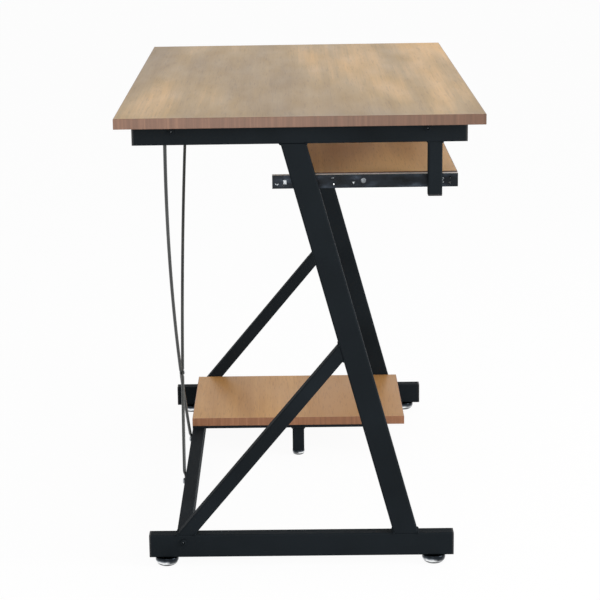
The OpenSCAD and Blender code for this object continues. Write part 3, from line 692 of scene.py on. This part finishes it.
def set_out(fastener, places, seed, finish):
    """The mesh of a fastener at each place (point, outward direction)."""
    points = bpy.data.meshes.new("places")
    points.from_pydata([point for point, outward in places], [], [])
    directions = points.attributes.new("outward", "FLOAT_VECTOR", "POINT")
    for item, (point, outward) in zip(directions.data, places):
        item.vector = outward
    template = put("template", fastener)
    mesh = run_tree(SET_FASTENERS, points, {"Fastener": template, "Seed": seed, "Finish": finish})
    bpy.data.objects.remove(template)
    return mesh


# ---- screws and bolts ----

HEAD_SIDES = 24
DOME_STEPS = 6
# Heights in a head, as shares of its own: its upright rim, the recess's floor, the cutter's top.
RIM_TOP, RECESS_FLOOR, CUTTER_TOP = 0.45, 0.4, 1.2
# Half widths of a drive recess, as shares of the head's radius.
KEY_RADIUS, CROSS_ARM, CROSS_HALF_WIDTH = 0.5, 0.55, 0.12
TIP_LENGTH = 0.6  # of a shank's tapered tip, as a share of the shank's radius
LOW_HEAD = 0.6    # height of the centre screw's head, as a share of the CAD's
CENTRE_SHANK_CUT = 1.4 * MM
CENTRE_NUT_HEIGHT = 1.8 * MM
NUT_CHAMFER = 0.3 * MM
# The worn floor of a bolt's socket, as (radius, height) points.
SOCKET_PROFILE = [(0, 0), (1.3 * MM, 0), (1.1 * MM, 0.3 * MM), (0, 0.45 * MM)]

Screw = namedtuple("Screw", "seat outward head_r head_h shank_r length")


def recessed(shape, cutters, material):
    """The mesh of a fastener with its drive recess cut out."""
    body = put("body", mesh_of(shape, "body", material))
    tools = []
    for cutter in cutters:
        tool = put("cutter", mesh_of(cutter, "cutter", material, smooth=False))
        cut = body.modifiers.new("recess", "BOOLEAN")
        cut.operation = "DIFFERENCE"
        cut.object = tool
        tools.append(tool)
    mesh = evaluated_mesh(body)
    for tool in tools:
        bpy.data.objects.remove(tool)
    return mesh


def headed_fastener(head_r, head_h, shank_r, length, drive, material):
    """A screw or bolt with its head above Z 0: drive is "cross" or "hexagon"."""
    tip = TIP_LENGTH * shank_r
    turns = [math.radians(90 / DOME_STEPS * i) for i in range(DOME_STEPS)]
    dome = [(head_r * math.cos(t), head_h * (RIM_TOP + (1 - RIM_TOP) * math.sin(t))) for t in turns]
    shank = [(0, -length), (shank_r - tip, -length), (shank_r, tip - length), (shank_r, 0)]
    shape = turned(shank + [(head_r, 0)] + dome + [(0, head_h)], HEAD_SIDES)
    if drive == "hexagon":
        outlines = [polygon(KEY_RADIUS * head_r, 6)]
    else:
        arm, half_width = CROSS_ARM * head_r, CROSS_HALF_WIDTH * head_r
        outlines = [rectangle(arm, half_width), rectangle(half_width, arm)]
    cutters = [prism(outline, RECESS_FLOOR * head_h, CUTTER_TOP * head_h) for outline in outlines]
    return recessed(shape, cutters, material)


def read_screw(corners):
    """Where a CAD screw's head seats, its outward direction, and its sizes, read from its corners."""
    low = Vector([min(c[i] for c in corners) for i in range(3)])
    high = Vector([max(c[i] for c in corners) for i in range(3)])
    size = high - low
    # a round piece is as wide both ways across its axis
    axis = min(range(3), key=lambda i: abs(size[(i + 1) % 3] - size[(i + 2) % 3]))
    centre = (low + high) / 2
    offsets = [c - centre for c in corners]
    for offset in offsets:
        offset[axis] = 0
    head_r = max(offset.length for offset in offsets)
    # the head's corners are those near the full radius
    rim = [c[axis] for c, offset in zip(corners, offsets) if offset.length > 0.95 * head_r]
    head_h = max(rim) - min(rim)
    outward = Vector((0, 0, 0))
    outward[axis] = 1 if (min(rim) + max(rim)) / 2 > centre[axis] else -1
    seat = centre.copy()
    seat[axis] = min(rim) if outward[axis] > 0 else max(rim)
    tip = low[axis] if outward[axis] > 0 else high[axis]
    shank_r = max(offset.length for c, offset in zip(corners, offsets) if abs(c[axis] - tip) < NEAR)
    return Screw(seat, outward, head_r, head_h, shank_r, max(size) - head_h)


def fasteners(node_name, drive, seed, finish):
    """Replaces the screws of a CAD node by headed ones with a drive recess."""
    screws = [read_screw(corners) for corners in solids(node_name)]
    cad = screws[0]
    one = headed_fastener(cad.head_r, cad.head_h, cad.shank_r, cad.length, drive, finish)
    return set_out(one, [(screw.seat, screw.outward) for screw in screws], seed, finish)


def centre_screw():
    """The low-headed screw that holds the rods together where they cross."""
    cad = read_screw(solids("rod_centre_screw")[0])
    head_h, length = LOW_HEAD * cad.head_h, cad.length - CENTRE_SHANK_CUT
    screw = headed_fastener(cad.head_r, head_h, cad.shank_r, length, "cross", zinc)
    return set_out(screw, [(cad.seat, cad.outward)], seed=10, finish=zinc)


def centre_nut():
    """The thin hexagon nut on the centre screw, its rims chamfered."""
    low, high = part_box("rod_centre_nut")
    shape = prism(polygon((high.x - low.x) / 2, 6), 0, CENTRE_NUT_HEIGHT)
    rims = [edge for edge in shape.edges if abs(edge.verts[0].co.z - edge.verts[1].co.z) < NEAR]
    bmesh.ops.bevel(shape, geom=rims, offset=NUT_CHAMFER, segments=1, affect="EDGES")
    place = Vector(((low.x + high.x) / 2, high.y, (low.z + high.z) / 2))
    nut = mesh_of(shape, "nut", dull_zinc, smooth=False)
    return set_out(nut, [(place, Vector((0, -1, 0)))], seed=11, finish=dull_zinc)


def socket_floors():
    """The worn floors of the frame bolts' hexagon sockets."""
    floor_mesh = mesh_of(turned(SOCKET_PROFILE, 12), "socket_floor", dull_zinc)
    places = []
    for corners in solids("frame_bolts"):
        bolt = read_screw(corners)
        places.append((bolt.seat + bolt.outward * RECESS_FLOOR * bolt.head_h, bolt.outward))
    return set_out(floor_mesh, places, seed=8, finish=dull_zinc)


FASTENERS = [
    # name, CAD node, drive, seed, finish, body
    ("crossbar_bolts", "frame_bolts", "hexagon", 1, powder_coat, "frame"),
    ("desktop_fixing_screws", "desktop_screws", "cross", 2, zinc, "frame"),
    ("shelf_fixing_screws", "shelf_screws", "cross", 3, zinc, "frame"),
    ("slide_bracket_screws", "slide_fixing_screws", "cross", 4, zinc, "frame"),
    ("tray_fixing_screws", "tray_screws", "cross", 5, zinc, "tray"),
    ("rod_fixing_screws", "rod_end_screws", "cross", 6, zinc, "frame"),
]
for name, node_name, drive, seed, finish, body in FASTENERS:
    show(name, fasteners(node_name, drive, seed, finish), body, [node_name])
show("centre_screw", centre_screw(), "frame", ["rod_centre_screw"])
show("centre_nut", centre_nut(), "frame", ["rod_centre_nut"])
show("bolt_socket_floors", socket_floors(), "frame")


# ---- weld beads ----

BEAD_RADIUS = 2.4 * MM
RIPPLE_PITCH = 1.9 * MM


def end_face(node_name, upper):
    """The reach (x0, x1, y0, y1, z) of a leg's level end, from its CAD node."""
    corners = [v.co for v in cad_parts[node_name].data.vertices]
    level = (max if upper else min)(c.z for c in corners)
    rim = [c for c in corners if abs(c.z - level) < NEAR]
    xs, ys = [c.x for c in rim], [c.y for c in rim]
    return min(xs), max(xs), min(ys), max(ys), level


def bead_around(reach, open_side):
    """A path round an end face on its two edges across and on the side away from open_side."""
    x0, x1, y0, y1, z = reach
    inside, outside = (x1, x0) if open_side < 0 else (x0, x1)
    return [(outside, y0, z), (inside, y0, z), (inside, y1, z), (outside, y1, z)]


def brace_head(side):
    """The path of the bead where a diagonal brace meets the rear face of its leg."""
    leg, brace = side + "_main_leg", side + "_diagonal_brace"
    low_rear, low = end_face(leg, False)[3:]
    high_rear, high = end_face(leg, True)[3:]
    foot = Vector((0, low_rear, low))
    slope = Vector((0, high_rear - low_rear, high - low)).normalized()
    normal = Vector((0, slope.z, -slope.y))
    touching = [v.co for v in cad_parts[brace].data.vertices
                if abs((Vector((0, v.co.y, v.co.z)) - foot).dot(normal)) < 2 * NEAR]
    along = [(Vector((0, c.y, c.z)) - foot).dot(slope) for c in touching]
    xs = [c.x for c in touching]
    start, end = foot + slope * min(along), foot + slope * max(along)
    inside, outside = (max(xs), min(xs)) if side == "left" else (min(xs), max(xs))
    return [(outside, start.y, start.z), (inside, start.y, start.z),
            (inside, end.y, end.z), (outside, end.y, end.z)]


def weld_paths():
    """All bead paths of the two side frames and of the low shelf's leg."""
    found = []
    for side, sign in (("left", -1), ("right", 1)):
        found.append(bead_around(end_face(side + "_main_leg", True), sign))
        found.append(bead_around(end_face(side + "_main_leg", False), sign))
        found.append(bead_around(end_face(side + "_slide_hanger", True), sign))
        found.append(bead_around(end_face(side + "_diagonal_brace", False), sign))
        found.append(brace_head(side))
    x0, x1, y0, y1, z = end_face("shelf_middle_leg", True)
    found.append([(x0, y0, z), (x1, y0, z), (x1, y1, z), (x0, y1, z), (x0, y0, z)])
    return found


def weld_beads():
    """The mesh of all weld beads."""
    points, lines = [], []
    for path in weld_paths():
        first = len(points)
        points.extend(path)
        lines.extend((first + i, first + i + 1) for i in range(len(path) - 1))
    bead_lines = bpy.data.meshes.new("bead_lines")
    bead_lines.from_pydata(points, lines, [])
    return run_tree(LAY_BEAD, bead_lines, {
        "Bead radius": BEAD_RADIUS, "Ripple pitch": RIPPLE_PITCH, "Seed": 3, "Finish": powder_coat})


show("weld_beads", weld_beads(), "frame")


# ---- the crossed brace rods ----

ROD_R = 3.0 * MM
PAD_HALF_W = 4.5 * MM
PAD_HALF_T = 1.5 * MM
PAD_REACH = 9 * MM     # from the screw to the pad's end
PAD_NECK = 9 * MM      # over which a pad turns round again
CROSS_REACH = 3 * MM   # the same two lengths where the rods cross
CROSS_NECK = 4 * MM
ROD_BOW = 7.4 * MM     # how far the middle of a rod bends to the rear
ROD_GAP = 0.2 * MM     # between the rods where they cross
ROD_RINGS = 220
ROD_SIDES = 16
SCREWS_MIDDLE_Z = 0.4  # a height between the rods' low and high screws


def eased(share):
    """A smooth step from 0 to 1."""
    share = max(0.0, min(1.0, share))
    return share * share * (3 - 2 * share)


def rod_ends(side):
    """The middles of a rod's pads under its end screws: the low one is on that side."""
    seats = [read_screw(corners).seat for corners in solids("rod_end_screws")]
    ends = [seat for seat in seats if seat.x * side * (SCREWS_MIDDLE_Z - seat.z) > 0]
    ends.sort(key=lambda end: end.z)
    for end in ends:
        end.y += ROD_R - 2 * PAD_HALF_T
    return ends


def rod_mesh(name, side, is_behind):
    """One bent rod, flattened into pads at both ends and where it crosses the other."""
    low, top = rod_ends(side)
    span = top - low
    across = Vector((-span.z, 0, span.x)).normalized()
    length = span.length
    cross = abs(low.x) / (abs(low.x) + abs(top.x))
    bow = ROD_BOW
    if is_behind:
        bow += (2 * PAD_HALF_T + ROD_GAP) / (4 * cross * (1 - cross))
    rings = []
    for i in range(ROD_RINGS + 1):
        along = -PAD_REACH + i / ROD_RINGS * (length + 2 * PAD_REACH)
        share = min(1, max(0, along / length))
        centre = low + span * (along / length) + Vector((0, 4 * share * (1 - share) * bow, 0))
        to_end = min(along, length - along)
        to_cross = abs(along - cross * length)
        at_end = 1 - eased((to_end - PAD_REACH) / PAD_NECK)
        flat = max(at_end, 1 - eased((to_cross - CROSS_REACH) / CROSS_NECK))
        centre.y -= at_end * (ROD_R - PAD_HALF_T)
        half_w = ROD_R + (PAD_HALF_W - ROD_R) * flat
        half_t = ROD_R + (PAD_HALF_T - ROD_R) * flat
        past_arc = -to_end - PAD_REACH + PAD_HALF_W
        if past_arc > 0:
            # the pad ends in a half circle, whose last ring keeps a little width
            half_w = math.sqrt(max(1e-9, PAD_HALF_W ** 2 - past_arc ** 2))
        rings.append([centre + across * half_w * u + Vector((0, half_t * v, 0))
                      for u, v in polygon(1, ROD_SIDES)])
    return mesh_of(skinned(rings), name, rod_enamel)


show("front_cross_rod", rod_mesh("front_cross_rod", -1, False), "frame", ["front_brace_rod"])
show("rear_cross_rod", rod_mesh("rear_cross_rod", 1, True), "frame", ["rear_brace_rod"])


# ---- details of the slides ----

# Places on a slide's web are in mm: the distance from its front end, and the rise over its middle.
RIVET_PLACE = (202, -4.7)
WEB_SCREW_PLACE = (153.6, 0.7)
# A domed rivet as (radius, height) points, its shank in the punched hole.
RIVET_PROFILE = [(0, -1.0 * MM), (1.3 * MM, -1.0 * MM), (1.3 * MM, 0), (1.8 * MM, 0),
                 (1.6 * MM, 0.4 * MM), (1.0 * MM, 0.7 * MM), (0, 0.8 * MM)]
# A pan-head screw: the radius and height of its head, the radius and length of its shank.
WEB_SCREW_SIZES = (4.3 * MM, 1.2 * MM, 1.4 * MM, 2.0 * MM)
TAB_HEIGHT = 0.9 * MM
# How a tab rises out of the web: its size, and its height as a share of the whole, at each step.
TAB_STEPS = ((1.0, -1 / 3), (1.0, 0.4), (0.8, 1.0))


def hook_outline():
    """The hook of a release lever in mm: an arc that is open at the top, and a smaller one back."""
    turns = [math.radians(200 + 22 * i) for i in range(9)]
    outer = [(3.6 * math.cos(t), 3.0 * math.sin(t)) for t in turns]
    return outer + [(0.55 * y + 0.6, 0.55 * z + 0.5) for y, z in reversed(outer)]


TABS = [
    # place and outline in mm
    # the square stop at the rear, and the release lever's hook
    ((281, 0.0), rectangle(3, 4)),
    ((294, -2.4), hook_outline()),
    # three burrs at the front
    ((24, 3.4), [(-1.3, -1.0), (0.7, -1.2), (1.3, 0.9), (-0.6, 1.2)]),
    ((25, 0.2), [(-0.9, -1.1), (1.1, -0.6), (0.7, 1.1), (-1.1, 0.6)]),
    ((24, -3.2), [(-1.3, -1.0), (1.0, -1.1), (1.1, 1.1), (-0.7, 0.9)]),
    # the pointed stop near the middle, and the burr over the upper hole
    ((170, -2.6), [(2.4, 1.8), (-2.4, 1.8), (-0.4, -2.4)]),
    ((203, 5.6), [(-3.4, 0.9), (0, -0.9), (3.4, 0.9), (0, 0.6)]),
]


def on_web(side, sign, along, rise):
    """A place on the outer face of a slide's web."""
    low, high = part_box(side + "_slide_outer")
    face = high.x if sign > 0 else low.x
    return Vector((face, low.y + along * MM, (low.z + high.z) / 2 + rise * MM))


def slide_rivet(side, sign):
    """The small domed rivet in the lower punched hole, which holds the ball cage's end stop."""
    rivet = mesh_of(turned(RIVET_PROFILE, 16), "rivet", bearing_steel)
    place = on_web(side, sign, *RIVET_PLACE)
    return set_out(rivet, [(place, Vector((sign, 0, 0)))], seed=7, finish=bearing_steel)


def slide_screw(side, sign):
    """The pan-head screw in the middle of the web, over the ball cage."""
    screw = headed_fastener(*WEB_SCREW_SIZES, "cross", dull_zinc)
    place = on_web(side, sign, *WEB_SCREW_PLACE)
    return set_out(screw, [(place, Vector((sign, 0, 0)))], seed=9, finish=dull_zinc)


def slide_tabs(side, sign):
    """The stops lanced out of a slide's web, the burrs left on it, and its release lever's hook."""
    tabs = []
    for (along, rise), outline in TABS:
        points = [on_web(side, sign, along + y, rise + z) for y, z in outline]
        middle = sum(points, Vector((0, 0, 0))) / len(points)
        rings = []
        for size, share in TAB_STEPS:
            out = Vector((sign * share * TAB_HEIGHT, 0, 0))
            rings.append([middle + (point - middle) * size + out for point in points])
        tabs.append(rings)
    # the tabs and burrs are lanced from the black-plated web, but are in bright zinc as a painted
    # highlight
    return mesh_of(skinned(*tabs), side + "_slide_tabs", zinc, smooth=False)


for side, sign in (("left", -1), ("right", 1)):
    show(side + "_slide_rivets", slide_rivet(side, sign), "frame")
    show(side + "_slide_tabs", slide_tabs(side, sign), "frame")
    show(side + "_slide_screw", slide_screw(side, sign), "frame")


# ---- floor, light and background ----

FLOOR_GAP = 0.5 * MM      # under the feet, so that no faces coincide
FLOOR_HALF_WIDTH = 12     # metres
FLOOR_PLAIN_SHARE = 0.95  # the share of plain white, and the rest keeps the shadow
AMBIENT = 0.56            # strength of the surroundings' light on the desk


def sees_surroundings(tree):
    """1 for camera, glossy and transmission rays, which see the plain white surroundings."""
    path = add(tree, "ShaderNodeLightPath")
    direct = add(tree, "ShaderNodeMath", {
        0: path.outputs["Is Camera Ray"], 1: path.outputs["Is Glossy Ray"]}, operation="MAXIMUM")
    either = add(tree, "ShaderNodeMath", {
        0: direct.outputs[0], 1: path.outputs["Is Transmission Ray"]}, operation="MAXIMUM")
    return either.outputs[0]


def studio_paint():
    """Matt white paint: it shows plain white, and keeps a soft share of the shadow."""
    material, tree = new_material("matt_studio_paint")
    matt = add(tree, "ShaderNodeBsdfDiffuse", {"Color": colour("f2f2f2")})
    plain = add(tree, "ShaderNodeEmission", {"Color": colour("ffffff"), "Strength": 1.0})
    share = add(tree, "ShaderNodeMath", {
        0: sees_surroundings(tree), 1: FLOOR_PLAIN_SHARE}, operation="MULTIPLY")
    both = add(tree, "ShaderNodeMixShader", {
        "Fac": share.outputs[0], 1: matt.outputs[0], 2: plain.outputs[0]})
    add(tree, "ShaderNodeOutputMaterial", {"Surface": both.outputs[0]})
    return material


def studio_world():
    """White surroundings, which light the desk more softly than they show."""
    made = bpy.data.worlds.new("studio")
    tree = empty_tree(made)
    level = add(tree, "ShaderNodeMapRange", {
        "Value": sees_surroundings(tree), "To Min": AMBIENT, "To Max": 1.0})
    sky = add(tree, "ShaderNodeBackground", {
        "Color": colour("ffffff"), "Strength": level.outputs["Result"]})
    add(tree, "ShaderNodeOutputWorld", {"Surface": sky.outputs["Background"]})
    return made


floor_shape = bmesh.new()
bmesh.ops.create_grid(floor_shape, x_segments=1, y_segments=1, size=FLOOR_HALF_WIDTH)
floor = put("studio_floor", mesh_of(floor_shape, "studio_floor", studio_paint()))
floor.location.z = cad_box[0].z - FLOOR_GAP
bpy.context.scene.world = studio_world()

SOFTBOXES = [
    # name, place, aimed at, size, watts
    ("overhead", (0.5, -0.4, 3.0), (0, 0, 0.6), 2.6, 12),
    ("window_side", (-1.2, -2.8, 1.3), (0, 0, 0.6), 1.6, 78),
    ("camera_side", (-1.7, 0.2, 0.92), (-0.45, 0, 0.74), 0.7, 8),
]
for name, place, target, size, watts in SOFTBOXES:
    softbox = bpy.data.lights.new(name, "AREA")
    softbox.shape = "SQUARE"
    softbox.size = size
    softbox.energy = watts
    lamp = put(name, softbox)
    lamp.location = place
    lamp.visible_camera = False
    lamp.rotation_euler = (Vector(target) - Vector(place)).to_track_quat("-Z", "Y").to_euler()

bpy.context.scene.view_settings.view_transform = "Standard"
